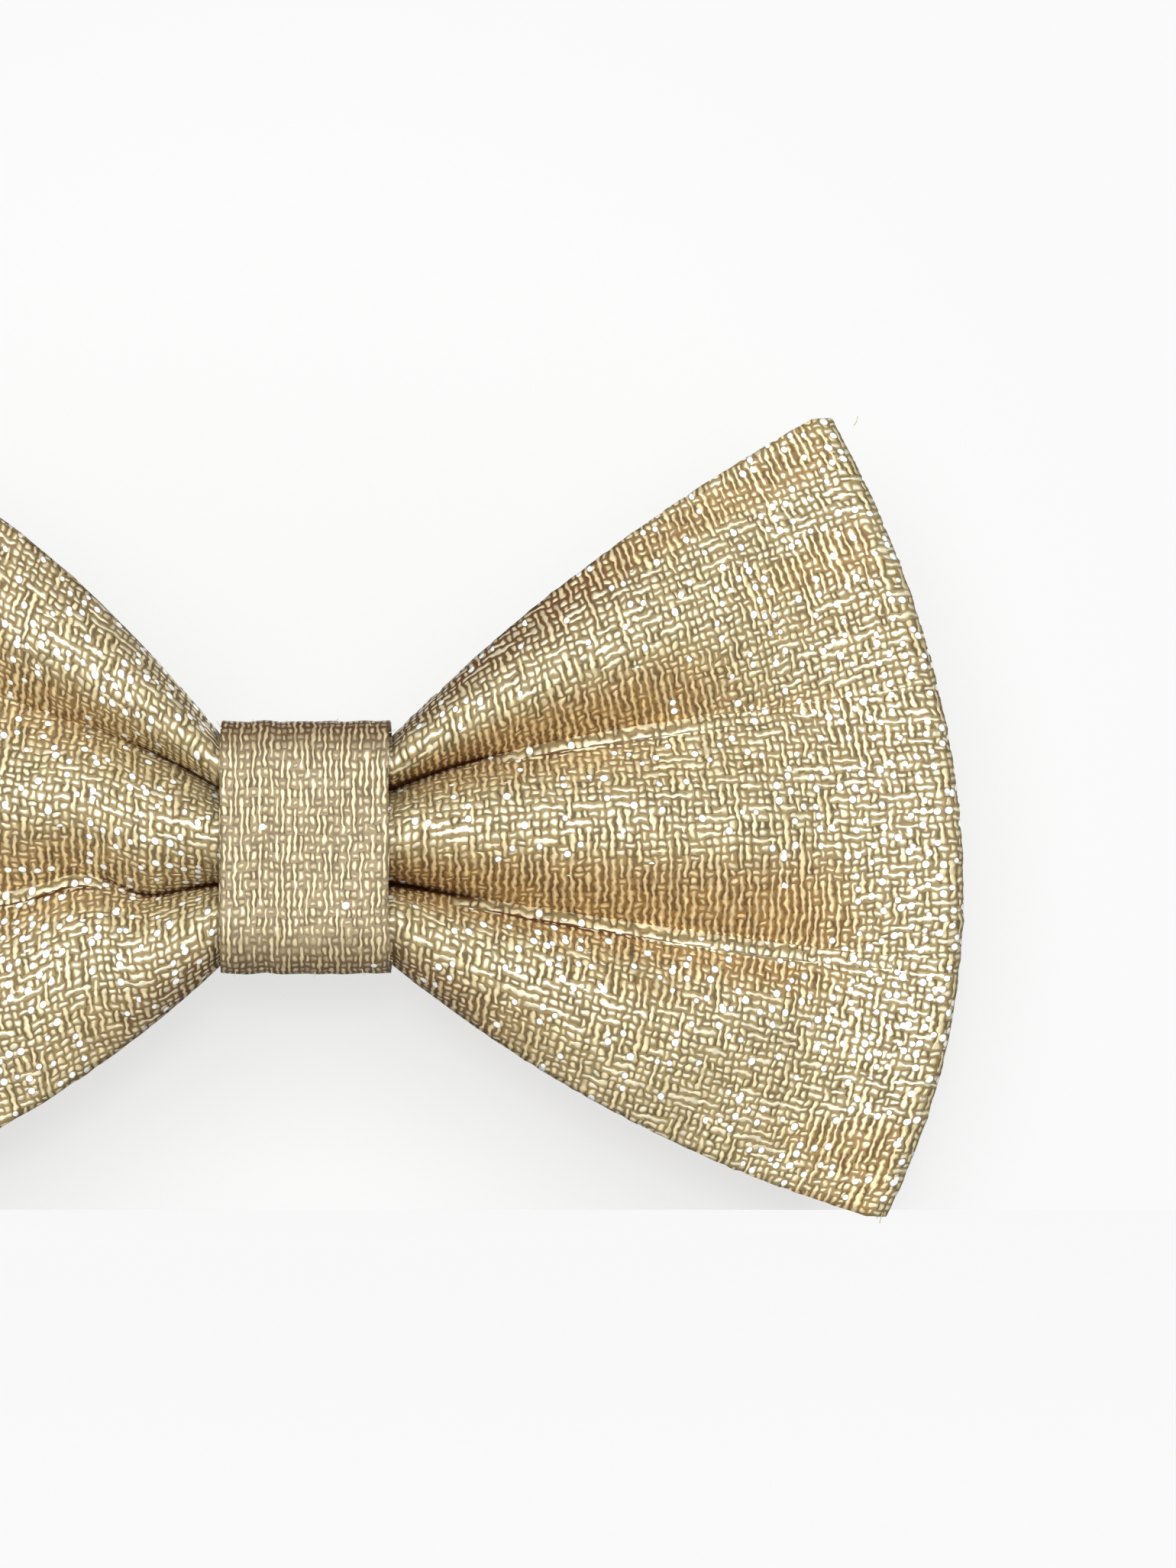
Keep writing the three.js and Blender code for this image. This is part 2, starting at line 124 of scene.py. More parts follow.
def smooth(a, b, x):
    t = min(1.0, max(0.0, (x - a) / (b - a)))
    return t * t * (3 - 2 * t)


def along(values, r):
    """A depth that runs from the waist, through the fullest place, to the fold."""
    waist, full, fold = values
    if r < FULLEST:
        return mix(waist, full, smooth(0, FULLEST, r))
    return mix(full, fold, smooth(FULLEST, 1, r))


# ---- the strip's surface: r runs out from the waist, and a lobe and a share of it give the way across ----
def valley(ends, sway, r):
    bends = sum(size * math.exp(-(((r - at) / width) ** 2)) for at, width, size in sway)
    return ends[1] + (ends[0] - ends[1]) * (1 - r) ** 2.2 + bends


def across(wing, r, lobe, u):
    """The share of the half height, -1 to 1, at a place u across one of the lobes."""
    edges = (
        -1.0,
        valley(wing["lower"], wing["sway"][0], r),
        valley(wing["upper"], wing["sway"][1], r),
        1.0,
    )
    return mix(edges[lobe], edges[lobe + 1], u)


def bulge(r, u):
    """How far a lobe stands out of its valleys: steep-sided at the waist, soft further out."""
    power = mix(0.62, 1.05, smooth(0.05, 0.55, r))
    return max(0.0, math.sin(math.pi * u)) ** power


def stand_out(r, lobe, u):
    """The same for the whole wing, whose own edges fall back less than its valleys do."""
    at_edge = (lobe == 0 and u < 0.5) or (lobe == LOBES - 1 and u > 0.5)
    least = 0.4 * (1 - smooth(0.4, 0.85, r)) if at_edge else 0.0
    return mix(least, 1.0, bulge(r, u))


def fold_z(wing, v):
    return mix(wing["bottom_z"], wing["top_z"], (v + 1) / 2)


def fold_x(wing, v):
    rise = fold_z(wing, v) - wing["peak_z"]
    uneven = 0.15 * noise.noise(Vector((rise * 0.8, wing["seed"], 1.0)))
    return wing["reach"] - 0.1 + uneven - (wing["bend_up"] if rise > 0 else wing["bend_down"]) * rise * rise


def wing_xz(wing, r, v):
    spread = mix(wing["spread_down"], wing["spread_up"], (v + 1) / 2)
    opened = (1 + spread) * r - spread * r * r
    x = mix(WAIST["half_x"], fold_x(wing, v) - FOLD["radius"], r)
    z = mix(WAIST["centre_z"] + WAIST["half_z"] * v, fold_z(wing, v), opened)
    ragged = 0.14 * noise.noise(Vector((x * 1.4, v * 3, wing["seed"] + 30))) * smooth(0.93, 1, abs(v))
    return wing["side"] * x, z + ragged


def slack(x, z, seed, size):
    """Soft unevenness of hand-gathered cloth."""
    return size * noise.noise(Vector((x * 0.09, z * 0.09, seed))) + 0.4 * size * noise.noise(
        Vector((x * 0.25, z * 0.25, seed + 5))
    )


def fold_y(wing, v, lobe, u):
    return FOLD["y"] - FOLD["sag"] * (bulge(1.0, u) - 0.5)


def lobe_height(wing, r, lobe):
    return wing_xz(wing, r, across(wing, r, lobe, 1.0))[1] - wing_xz(wing, r, across(wing, r, lobe, 0.0))[1]


def welt_start(wing, r, lobe):
    """Where, across a lobe, its pressed upper edge begins; 1 where it has none."""
    if lobe == LOBES - 1:
        return 1.0
    return 1 - min(0.3, WELT["width"] / lobe_height(wing, r, lobe))


def column_share(wing, r, lobe, column):
    """How far across its lobe a column of the sheet lies: evenly, with closer ones on the pressed edge."""
    start = welt_start(wing, r, lobe)
    if start == 1.0:
        return column / LOBE_STEPS
    plain = LOBE_STEPS - WELT["steps"]
    if column <= plain:
        return start * column / plain
    return mix(start, 1.0, (column - plain) / WELT["steps"])


def welt_rise(wing, r, lobe, u):
    start = welt_start(wing, r, lobe)
    if u <= start:
        return 0.0
    rise, full, fade, gone = wing["pressed"][lobe]
    height = WELT["height"] * smooth(rise, full, r) * (1 - smooth(fade, gone, r))
    return height * math.sin(math.pi * (u - start) / (1 - start))


def front_point(wing, r, lobe, u):
    v = across(wing, r, lobe, u)
    x, z = wing_xz(wing, r, v)
    depth = mix(along(DEPTH["valley"], r), along(DEPTH["crest"], r), stand_out(r, lobe, u))
    depth += welt_rise(wing, r, lobe, u)
    y = mix(-depth, fold_y(wing, v, lobe, u) - FOLD["radius"], smooth(0.7, 1, r))
    y += slack(x, z, wing["seed"], 0.55) * smooth(0.1, 0.4, r) * (1 - smooth(0.85, 1, r))
    return Vector((x, y, z))


def back_point(wing, r, lobe, u):
    v = across(wing, r, lobe, u)
    x, z = wing_xz(wing, r, v)
    flat = -mix(along(DEPTH["back"], r), along(DEPTH["edge"], r), v**6)
    y = mix(flat, fold_y(wing, v, lobe, u) + FOLD["radius"], smooth(0.7, 1, r))
    y += slack(x, z, wing["seed"] + 20, 0.4) * smooth(0.1, 0.4, r) * (1 - smooth(0.85, 1, r))
    return Vector((x, y, z))


def fold_point(wing, turn, lobe, u):
    v = across(wing, 1.0, lobe, u)
    x = fold_x(wing, v) - FOLD["radius"] + FOLD["radius"] * math.sin(turn)
    y = fold_y(wing, v, lobe, u) - FOLD["radius"] * math.cos(turn)
    return Vector((wing["side"] * x, y, fold_z(wing, v)))


def waist_point(t, lobe, u):
    p = front_point(RIGHT, 0.0, lobe, u)
    p.x = mix(WAIST["half_x"], -WAIST["half_x"], t)
    return p


def end_point(wing, t, lobe, u, inwards):
    p = back_point(wing, 0.0, lobe, u)
    p.x = wing["side"] * mix(-OVERLAP["half_x"], WAIST["half_x"], t)
    p.y -= inwards * (1 - smooth(0.2, 1, t))
    return p


def pinched(p):
    k = mix(PINCH["scale"], 1, smooth(PINCH["inner_x"], PINCH["outer_x"], abs(p.x)))
    p.y = WAIST["centre_y"] + (p.y - WAIST["centre_y"]) * k
    p.z = WAIST["centre_z"] + (p.z - WAIST["centre_z"]) * k
    return p


END_ROWS = 8
BACK_ROWS = 34
FOLD_ROWS = 10
FRONT_ROWS = 60
WAIST_ROWS = 18
# Stretches of the strip, from its inner end to its outer end: how many rows, whose wing, whether it's in
# front, and for each share t of the stretch its way out from the waist and its points' rule.
STRETCHES = (
    (END_ROWS, RIGHT, False, lambda t: 0.0, lambda t, k, u: end_point(RIGHT, t, k, u, OVERLAP["inner"])),
    (BACK_ROWS, RIGHT, False, lambda t: t, lambda t, k, u: back_point(RIGHT, t, k, u)),
    (FOLD_ROWS, RIGHT, False, lambda t: 1.0, lambda t, k, u: fold_point(RIGHT, math.pi * (1 - t), k, u)),
    (FRONT_ROWS, RIGHT, True, lambda t: 1 - t, lambda t, k, u: front_point(RIGHT, 1 - t, k, u)),
    (WAIST_ROWS, RIGHT, True, lambda t: 0.0, lambda t, k, u: waist_point(t, k, u)),
    (FRONT_ROWS, LEFT, True, lambda t: t, lambda t, k, u: front_point(LEFT, t, k, u)),
    (FOLD_ROWS, LEFT, False, lambda t: 1.0, lambda t, k, u: fold_point(LEFT, math.pi * t, k, u)),
    (BACK_ROWS, LEFT, False, lambda t: 1 - t, lambda t, k, u: back_point(LEFT, 1 - t, k, u)),
    (END_ROWS, LEFT, False, lambda t: 0.0, lambda t, k, u: end_point(LEFT, 1 - t, k, u, 0.0)),
)


def strip_rows():
    """Rows of points across the strip, and for each row its wing, its way out, and whether it's in front."""
    rows, where = [], []
    for stretch in STRETCHES:
        steps, wing, front, out, at = stretch
        for i in range(steps + (stretch is STRETCHES[-1])):
            t = i / steps
            row = []
            for column in range(LOBES * LOBE_STEPS + 1):
                lobe = min(column // LOBE_STEPS, LOBES - 1)
                share = column_share(wing, out(t), lobe, column - lobe * LOBE_STEPS)
                row.append(pinched(at(t, lobe, share)))
            rows.append(row)
            where.append((wing, out(t), front))
    return rows, where


def object_from(bm, name):
    mesh = bpy.data.meshes.new(name)
    bm.to_mesh(mesh)
    bm.free()
    obj = bpy.data.objects.new(name, mesh)
    bpy.context.collection.objects.link(obj)
    return obj


def grid_mesh(name, rows, chart):
    """A sheet through rows of points in millimetres, with a UV map in metres of flat cloth."""
    count, width = len(rows), len(rows[0])
    bm = bmesh.new()
    bmesh.ops.create_grid(bm, x_segments=count - 1, y_segments=width - 1, size=1.0)
    uv = bm.loops.layers.uv.new("cloth")
    place = {}
    for vert in bm.verts:
        i = round((vert.co.x + 1) / 2 * (count - 1))
        j = round((vert.co.y + 1) / 2 * (width - 1))
        place[vert] = (i, j)
    for vert, (i, j) in place.items():
        vert.co = rows[i][j] * MM
    for face in bm.faces:
        corner = (min(place[v][0] for v in face.verts), min(place[v][1] for v in face.verts))
        for loop in face.loops:
            loop[uv].uv = chart(*place[loop.vert], corner)
        face.smooth = True
    places = [place[vert] for vert in sorted(place, key=lambda v: v.index)]
    return object_from(bm, name), places


def lengths(points):
    total, out = 0.0, [0.0]
    for a, b in zip(points, points[1:]):
        total += (b - a).length
        out.append(total)
    return out


def give_thickness(obj, thickness, rim):
    solid = obj.modifiers.new("Plies", "SOLIDIFY")
    solid.thickness = thickness * MM
    solid.offset = 0.0
    solid.use_even_offset = False
    solid.bevel_convex = 1.0
    edge = obj.modifiers.new("Soft edges", "BEVEL")
    edge.limit_method = "WEIGHT"
    edge.width = rim * MM
    edge.segments = 3
    edge.profile = 0.5


def crest_lines(rows, where, wing):
    """Where each lobe's middle lies on the flat cloth, so that the lobes' threads meet at the outer fold."""
    fold = next(row for row, (side, r, _) in zip(rows, where) if side is wing and r == 1.0)
    run = lengths(fold)
    centre = run[len(run) // 2]
    return [run[lobe * LOBE_STEPS + LOBE_STEPS // 2] - centre for lobe in range(LOBES)]


def lobe_chart(row, lobe, crest_line):
    """Distances across the flat cloth for one lobe's columns, and for those of its pressed edge."""
    start = lobe * LOBE_STEPS
    run = lengths(row[start : start + LOBE_STEPS + 1])
    crest = run[LOBE_STEPS // 2]
    shares = [1 + (column - LOBE_STEPS) / WELT["steps"] for column in range(LOBE_STEPS + 1)]
    pressed = [WELT["line"] + WELT["threads"] * share for share in shares]
    return [crest_line + d - crest for d in run], pressed


def lobe_shade(wing, r, lobe, u):
    """Painted brown shade beside a valley: over it, where a lobe overhangs, and less under it; and painted
    shade in streaks of small folds further out.
    """
    above = 1 - smooth(0.15, 0.48, u)
    below = smooth(0.68, 0.9, u)
    much = mix(*wing["shade"], smooth(0.1, 0.3, r))
    ray = noise.noise(Vector((7.0 * across(wing, r, lobe, u), 1.5 * r, wing["seed"] + 40)))
    ripple_shade = 0.55 * smooth(0.05, 0.5, ray) * smooth(0.25, 0.55, r)
    if lobe == 0:
        flank_shade = 0.4 * above * (1 - smooth(0.15, 0.5, r)) + 0.85 * below * (1 - smooth(0.7, 0.9, r))
    elif lobe == 1:
        flank_shade = above * (1 - smooth(0.72, 0.92, r)) + 0.55 * below * (1 - smooth(0.35, 0.6, r))
    else:
        flank_shade = above * (1 - smooth(0.5, 0.75, r))
    return max(much * flank_shade, ripple_shade)


SLIT = {"soft": 0.3, "hollow": 1.1}  # how wide the painted shadow line's soft edge and the painted shade in the hollow over it are


def painted_shade_share(wing, r, lobe, u):
    """Painted shade: a shadow line where a valley closes up near the band, shade in the hollow over it, under
    the lowest lobe by the band, and on the top lobe's upper edge near the waist.
    """
    if lobe == LOBES - 1 and u > 0.5:
        # painted shade on the top lobe's upper edge near the waist, where it curves away
        return wing["painted_edge_shade"] * smooth(0.55, 0.9, u) * (1 - smooth(0.4, 0.7, r))
    if lobe == 0 and u < 0.5:
        # painted shadow under the lowest lobe near the band
        return 0.3 * (1 - smooth(0.1, 0.45, u)) * (1 - smooth(0.1, 0.28, r))
    upper = lobe if u > 0.5 else lobe - 1
    if upper not in (0, 1):
        return 0.0
    off = min(u, 1 - u) * lobe_height(wing, r, lobe)
    out = min(1.0, r / wing["slit"][upper])
    reach = mix(*wing["slit_reach"], out)
    # painted shadow line in the closed valley, and painted shade in the hollow above it
    line = 1 - smooth(reach - SLIT["soft"], reach, off)
    hollow = wing["hollow"] * math.exp(-((off / SLIT["hollow"]) ** 2)) if u < 0.5 else 0.0
    return max(line, hollow) * (1 - smooth(0.55, 1.0, out))


def sparkle_share(wing, r, lobe, u, shade):
    """The share of flakes that catch the light: more towards the fold, on top of the lowest lobe, and fewer
    where shade is painted.
    """
    low_crest = smooth(0.45, 0.7, u) * (1 - smooth(0.85, 1.0, u)) if lobe == 0 else 0.0
    share = wing["sparkle"] + 0.38 * smooth(0.62, 0.95, r) + 0.38 * low_crest * smooth(0.1, 0.25, r)
    return share * (1 - 0.92 * shade)


# the flank and dark marks carry painted shade, and the flank mark also tips the weave to upright threads;
# sparkle is the share of flakes, and pressed marks the pressed edges
MARKS = ("flank_shade", "pressed", "dark", "sparkle")


def add_marks(obj):
    """Values at the sheet's points that its material reads; all are 0 until they are set."""
    return {name: obj.data.attributes.new(name, "FLOAT", "POINT") for name in MARKS}


def bow_cloth():
    """The folded strip, its flat-cloth map, and the marks that its material reads."""
    rows, where = strip_rows()
    middle = LOBE_STEPS + LOBE_STEPS // 2
    down = lengths([row[middle] for row in rows])
    crests = {id(wing): crest_lines(rows, where, wing) for wing in (RIGHT, LEFT)}
    charts = [
        [lobe_chart(row, lobe, crests[id(wing)][lobe]) for lobe in range(LOBES)]
        for row, (wing, _, _) in zip(rows, where)
    ]
    first_welt = LOBE_STEPS - WELT["steps"]

    def on_welt(i, column, lobe):
        wing, r, front = where[i]
        if not front or lobe == LOBES - 1 or column < first_welt:
            return False
        return wing["pressed"][lobe][0] < r < wing["pressed"][lobe][3]

    def chart(i, j, corner):
        lobe = min(corner[1] // LOBE_STEPS, LOBES - 1)
        plain, pressed = charts[i][lobe]
        use = pressed if on_welt(corner[0], corner[1] - lobe * LOBE_STEPS, lobe) else plain
        return down[i] * MM, use[j - lobe * LOBE_STEPS] * MM

    obj, places = grid_mesh("bow_cloth", rows, chart)
    marks = add_marks(obj)
    for k, (i, j) in enumerate(places):
        wing, r, front = where[i]
        lobe = min(j // LOBE_STEPS, LOBES - 1)
        column = j - lobe * LOBE_STEPS
        u = column_share(wing, r, lobe, column)
        welt = on_welt(i, column, lobe)
        shade = lobe_shade(wing, r, lobe, u) if front and not welt else 0.0
        dark = painted_shade_share(wing, r, lobe, u) if front else 0.0
        # painted shadow line under the pressed edge
        if welt and column == first_welt:
            rise, full, _, _ = wing["pressed"][lobe]
            dark = max(dark, WELT["shadow"][lobe] * smooth(rise, full, r) * (1 - smooth(0.3, 0.6, r)))
        marks["flank_shade"].data[k].value = shade
        marks["pressed"].data[k].value = float(welt)
        marks["dark"].data[k].value = dark
        marks["sparkle"].data[k].value = sparkle_share(wing, r, lobe, u, shade)
    give_thickness(obj, CLOTH, 0.3)
    return obj


def band_line():
    """The band's path in the YZ plane, from its inner end at the back, round the front, to its outer end."""
    b = BAND
    corner, half = b["corner"], b["back_half_z"]
    inner, outer, shoulder = b["inner_y"], b["outer_y"], b["shoulder_y"]
    low, high = b["bottom_z"], b["top_z"]
    line = [(inner, b["tab"]), (inner, -half + 1), (inner - 0.3, -half), (inner - 1, -half - 0.8)]
    line += [(shoulder + 1, low + 1), (shoulder, low + 0.3), (shoulder - 1.6, low)]
    for step in range(9):
        a = math.pi / 2 * step / 8
        line.append((b["front_y"] + corner - corner * math.sin(a), low + corner - corner * math.cos(a)))
    for step in range(9):
        a = math.pi / 2 * step / 8
        line.append((b["front_y"] + corner - corner * math.cos(a), high - corner + corner * math.sin(a)))
    line += [(shoulder - 1.6, high), (shoulder, high - 0.3), (shoulder + 1, high - 1)]
    line += [(outer - 1, half + 0.8), (outer - 0.3, half), (outer, half - 1), (outer, -b["tab"])]
    return [Vector((0.0, y, z)) for y, z in line]


def spaced(points, count):
    """The same path with evenly spaced points."""
    marks = lengths(points)
    out, k = [], 0
    for i in range(count):
        want = marks[-1] * i / (count - 1)
        while k < len(points) - 2 and marks[k + 1] < want:
            k += 1
        t = (want - marks[k]) / (marks[k + 1] - marks[k])
        out.append(points[k].lerp(points[k + 1], t))
    return out


def band_cloth():
    """The band round the waist, a little swollen in front and uneven at its edges."""
    path = spaced(band_line(), BAND["points"])
    steps = BAND["columns"]
    rows = []
    for i, p in enumerate(path):
        row = []
        for j in range(steps + 1):
            s = 2 * j / steps - 1
            front = smooth(-9.0, -14.0, p.y)
            stray = 0.1 * noise.noise(Vector((s, p.z * 0.35, p.y * 0.35))) * abs(s)
            x = s * (BAND["width"] / 2 - CLOTH * 0.2) + stray
            swell = 0.25 * front * (1 - s * s) + 0.12 * front * noise.noise(Vector((x * 0.3, p.z * 0.3, 4.0)))
            wave = 0.14 * noise.noise(Vector((x * 0.8, 9.0, p.y * 0.1)))
            row.append(Vector((x, p.y - swell, p.z + wave)))
        rows.append(row)
    run = lengths([row[steps // 2] for row in rows])
    obj, places = grid_mesh("band_cloth", rows, lambda i, j, _: (rows[i][j].x * MM, run[i] * MM))
    marks = add_marks(obj)
    for k, (i, j) in enumerate(places):
        z = rows[i][j].z
        # painted shade: darker towards the band's top and bottom, where it curves away
        marks["dark"].data[k].value = (0.4 if z > 0 else 0.3) * smooth(6.2, 9.0, abs(z))
        marks["sparkle"].data[k].value = 0.015
    give_thickness(obj, BAND["thickness"], 0.28)
    return obj


def interfacing(name, wing):
    """A wing's stiffening, halfway between its front and its back."""
    rows = []
    for i in range(STIFFENING["rows"] + 1):
        r = mix(STIFFENING["from"], STIFFENING["to"], i / STIFFENING["rows"])
        row = []
        for column in range(STIFFENING["columns"] + 1):
            v = mix(-STIFFENING["half"], STIFFENING["half"], column / STIFFENING["columns"])
            edges = [across(wing, r, lobe, 0.0) for lobe in range(LOBES)] + [1.0]
            lobe = max(k for k in range(LOBES) if v >= edges[k] - 1e-9)
            u = (v - edges[lobe]) / (edges[lobe + 1] - edges[lobe])
            row.append(front_point(wing, r, lobe, u).lerp(back_point(wing, r, lobe, u), 0.5))
        rows.append(row)
    obj, _ = grid_mesh(name, rows, lambda i, j, _: (rows[i][j].x * MM, rows[i][j].z * MM))
    give_thickness(obj, STIFFENING["thickness"], 0.12)
    return obj


def lining(name):
    low, high = (Vector(c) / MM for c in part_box("clip_lining"))
    y = (low.y + high.y) / 2
    across_z = [mix(low.z, high.z, j / LINING["columns"]) for j in range(LINING["columns"] + 1)]
    rows = []
    for i in range(LINING["rows"] + 1):
        x = mix(low.x, high.x, i / LINING["rows"])
        rows.append([Vector((x, y, z)) for z in across_z])
    obj, _ = grid_mesh(name, rows, lambda i, j, _: (rows[i][j].x * MM, rows[i][j].z * MM))
    give_thickness(obj, LINING["thickness"], 0.15)
    return obj


def glue_blob(name, node, swell):
    """Set glue that has been pressed out unevenly past its pad."""
    low, high = (Vector(c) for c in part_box(node))
    centre, half = (low + high) / 2, (high - low) / 2
    bm = bmesh.new()
    bmesh.ops.create_icosphere(bm, subdivisions=4, radius=1.0)
    for vert in bm.verts:
        n = noise.noise(vert.co * 1.7 + Vector((swell * 9, 0, 0)))
        x = math.copysign(abs(vert.co.x) ** 0.7, vert.co.x)
        z = math.copysign(abs(vert.co.z) ** 0.7, vert.co.z)
        grow = 1 + swell * n
        vert.co = centre + Vector((x * half.x * grow, vert.co.y * half.y, z * half.z * grow))
    for face in bm.faces:
        face.smooth = True
    return object_from(bm, name)


FIBRE = {"radius": 0.045, "steps": 6}
# Loose fibres: where each starts, which way it heads, and its length.
FIBRES = (
    ((44.0, -9.2, -27.9), (-0.3, 0.0, -1.0), 1.6), ((43.4, -9.0, -27.9), (0.4, 0.1, -1.0), 0.8),
    ((41.9, -8.8, 32.2), (0.5, 0.0, 1.0), 0.8), ((-41.6, -8.8, 32.8), (-0.4, 0.1, 1.0), 1.0),
    ((-44.2, -9.2, -27.9), (-0.2, 0.1, -1.0), 1.0), ((49.2, -9.4, 3.0), (1.0, 0.0, 0.5), 0.7),
    ((48.9, -9.6, -12.0), (1.0, 0.1, -0.4), 0.6), ((-6.3, -15.6, 8.9), (-0.8, 0.0, 1.0), 0.7),
    ((-4.1, -14.4, 9.1), (0.2, -0.2, 1.0), 0.6), ((-1.2, -14.6, 9.15), (-0.5, -0.2, 1.0), 0.5),
    ((2.3, -14.2, 9.15), (0.4, -0.1, 1.0), 0.6), ((5.0, -14.8, 9.1), (-0.3, -0.2, 1.0), 0.5),
    ((6.4, -15.4, 8.6), (1.0, 0.0, 0.6), 0.6), ((-5.2, -14.6, -9.3), (-0.4, 0.0, -1.0), 0.7),
    ((-2.6, -14.2, -9.4), (0.3, -0.1, -1.0), 0.5), ((0.8, -14.4, -9.4), (-0.2, -0.2, -1.0), 0.6),
    ((4.3, -14.6, -9.35), (0.5, 0.0, -1.0), 0.6), ((6.3, -15.6, -8.5), (1.0, 0.0, -0.5), 0.5),
)


def frayed_ends():
    """Short fibres that stand out of the cut edges of the cloth."""
    bm = bmesh.new()
    for start, heading, length in FIBRES:
        way = Vector(heading).normalized()
        turn = way.to_track_quat("Z", "Y").to_matrix()
        place = Matrix.Translation(Vector(start) * MM) @ turn.to_4x4()
        radius = FIBRE["radius"] * MM
        ring = bmesh.ops.create_circle(bm, cap_ends=True, segments=6, radius=radius, matrix=place)
        tip = list({face for vert in ring["verts"] for face in vert.link_faces})
        for step in range(FIBRE["steps"]):
            grown = bmesh.ops.extrude_face_region(bm, geom=tip)["geom"]
            verts = [item for item in grown if isinstance(item, bmesh.types.BMVert)]
            tip = [item for item in grown if isinstance(item, bmesh.types.BMFace)]
            stray = noise.noise_vector(Vector(start) * 3.1 + Vector((0, 0, step * 0.7)))
            bend = (way + 0.7 * stray).normalized() * (length * MM / FIBRE["steps"])
            bmesh.ops.translate(bm, verts=verts, vec=bend)
            centre = sum((vert.co for vert in verts), Vector()) / len(verts)
            bmesh.ops.scale(bm, verts=verts, vec=(0.88, 0.88, 0.88), space=Matrix.Translation(-centre))
    bmesh.ops.recalc_face_normals(bm, faces=bm.faces)
    return object_from(bm, "frayed_ends")


# ---- shader nodes ----
def tree_node(tree, kind, values=None, **settings):
    """A new node; each value goes into an input, as a link where it is another node's output."""
    node = tree.nodes.new(kind)
    for key, value in settings.items():
        setattr(node, key, value)
    for key, value in (values or {}).items():
        socket = node.inputs[key]
        if isinstance(value, bpy.types.NodeSocket):
            tree.links.new(value, socket)
        else:
            socket.default_value = value
    return node


def math_node(tree, operation, *values):
    return tree_node(tree, "ShaderNodeMath", dict(enumerate(values)), operation=operation).outputs[0]


def mix_colour(tree, factor, a, b):
    return tree_node(tree, "ShaderNodeMix", {0: factor, 6: a, 7: b}, data_type="RGBA").outputs[2]


def ramp(tree, value, low, high, to_low=0.0, to_high=1.0):
    """A smooth step from one value to another, while the input runs from low to high."""
    ends = {0: value, 1: low, 2: high, 3: to_low, 4: to_high}
    return tree_node(tree, "ShaderNodeMapRange", ends, interpolation_type="SMOOTHSTEP").outputs[0]


def new_group(name, inputs, outputs):
    group = bpy.data.node_groups.new(name, "ShaderNodeTree")
    for kind, label, default in inputs:
        socket = group.interface.new_socket(label, in_out="INPUT", socket_type=kind)
        if default is not None:
            socket.default_value = default
    for kind, label in outputs:
        group.interface.new_socket(label, in_out="OUTPUT", socket_type=kind)
    return group, group.nodes.new("NodeGroupInput").outputs, group.nodes.new("NodeGroupOutput").inputs


